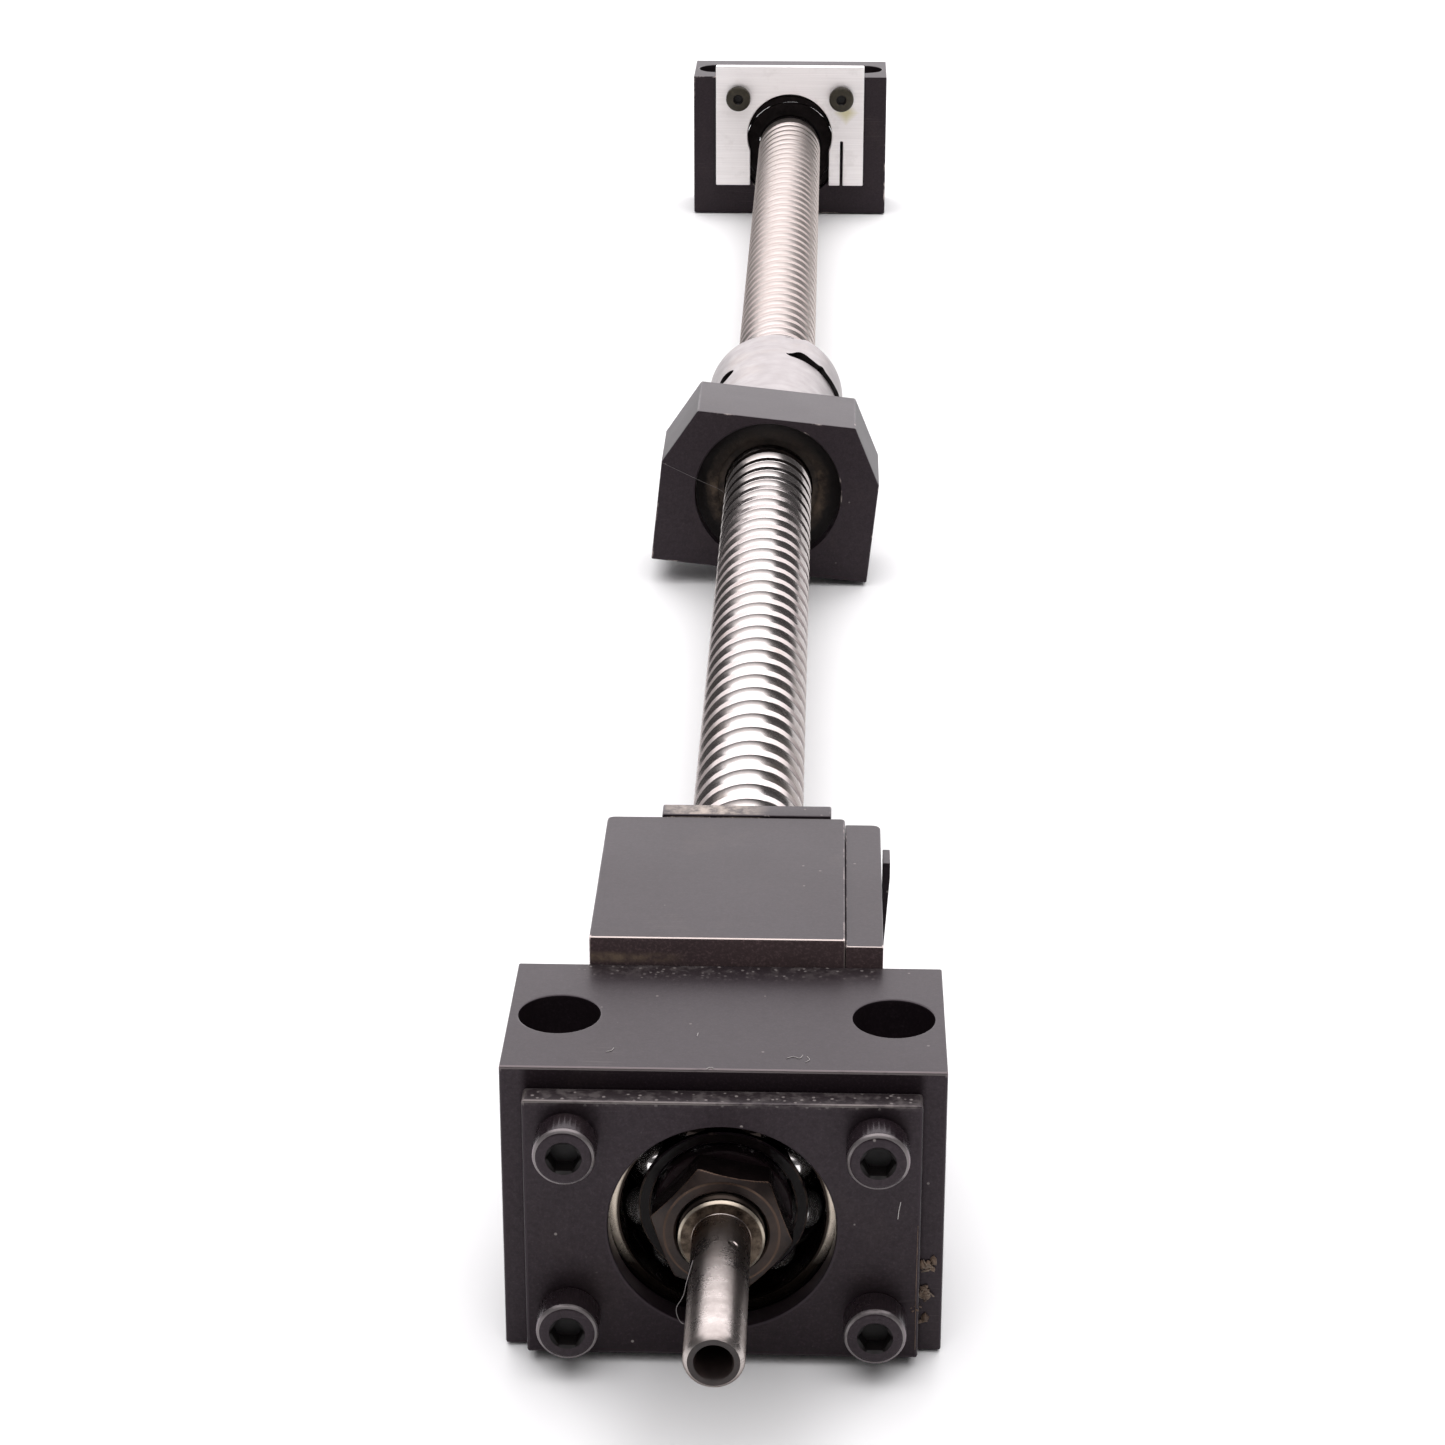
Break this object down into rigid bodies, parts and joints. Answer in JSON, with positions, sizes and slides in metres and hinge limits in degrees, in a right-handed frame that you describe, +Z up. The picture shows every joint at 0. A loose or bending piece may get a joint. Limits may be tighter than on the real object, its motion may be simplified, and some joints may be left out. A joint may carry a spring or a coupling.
{
  "type": "ball screw assembly",
  "caption": "Ball screw held between two bearing housings, with a ball nut in an octagonal-topped bracket, a stop block and a plain drive end.",
  "frame": {"origin": "centre of the front housing's base face, on the mounting surface", "axes": "+Y along the screw, away from its drive end; +Z up from the mounting surface; +X to the right seen from the drive end"},
  "size_m": [0.06, 0.7168, 0.0472],
  "materials": {
    "black_oxide": "satin black oxide on milled steel",
    "grey_oxide": "satin grey oxide, edges worn to bare metal",
    "screw_steel": "ground, with brown grease in the grooves",
    "bearing_steel": "polished ring steel",
    "nut_steel": "satin ground steel",
    "aluminium": "satin milled aluminium",
    "browned_steel": "oiled, browned steel",
    "cage_black": "oily black",
    "wiper_felt": "greasy brown"
  },
  "bodies": {
    "support": {"cover_screw_1": "black_oxide", "cover_screw_2": "black_oxide", "cover_screw_3": "black_oxide", "cover_screw_4": "black_oxide", "front_bearing_outer_ring": "bearing_steel", "front_cover": "black_oxide", "front_housing": "black_oxide", "housing_seal": "cage_black", "inner_bearing_outer_ring": "bearing_steel", "rear_bearing_outer_ring": "bearing_steel", "rear_housing": "black_oxide", "rear_plate": "aluminium", "rear_plate_screw_1": "browned_steel", "rear_plate_screw_2": "browned_steel", "side_flag": "black_oxide", "stop_block": "grey_oxide", "stop_plate": "grey_oxide", "stop_screw_1": "black_oxide", "stop_screw_2": "black_oxide", "stop_side_strip": "grey_oxide"},
    "screw": {"screw_shaft": "screw_steel", "screw_collar": "screw_steel", "lock_nut": "browned_steel", "rear_circlip": "browned_steel", "front_bearing_inner_ring": "bearing_steel", "inner_bearing_inner_ring": "bearing_steel", "rear_bearing_inner_ring": "bearing_steel"},
    "ball_nut": {"nut_bracket": "black_oxide", "ball_nut_body": "nut_steel", "return_guide": "nut_steel", "bracket_grub_screw": "browned_steel", "front_wiper": "wiper_felt", "rear_wiper": "wiper_felt"},
    "front_cage": {"front_bearing_ball_cage": "bearing_steel"},
    "inner_cage": {"inner_bearing_ball_cage": "bearing_steel"},
    "rear_cage": {"rear_bearing_ball_cage": "bearing_steel"}
  },
  "joints": [
    {"name": "screw_spin", "type": "hinge", "parent": "support", "child": "screw", "pos_m": [0, 0, 0.021], "axis": [0, 1, 0], "range_deg": [-14850, 13040]},
    {"name": "nut_travel", "type": "slide", "parent": "support", "child": "ball_nut", "axis": [0, 1, 0], "range_m": [-0.2305, 0.2625]},
    {"name": "front_cage_spin", "type": "hinge", "parent": "support", "child": "front_cage", "pos_m": [0, 0, 0.021], "axis": [0, 1, 0], "range_deg": [-5560, 4880]},
    {"name": "inner_cage_spin", "type": "hinge", "parent": "support", "child": "inner_cage", "pos_m": [0, 0, 0.021], "axis": [0, 1, 0], "range_deg": [-5560, 4880]},
    {"name": "rear_cage_spin", "type": "hinge", "parent": "support", "child": "rear_cage", "pos_m": [0, 0, 0.021], "axis": [0, 1, 0], "range_deg": [-5560, 4880]}
  ],
  "couplings": [
    {"joint": "nut_travel", "follows": "screw_spin", "m_per_rad": -0.0010106},
    {"joint": "front_cage_spin", "follows": "screw_spin", "ratio": 0.3727},
    {"joint": "inner_cage_spin", "follows": "screw_spin", "ratio": 0.3727},
    {"joint": "rear_cage_spin", "follows": "screw_spin", "ratio": 0.3727}
  ]
}
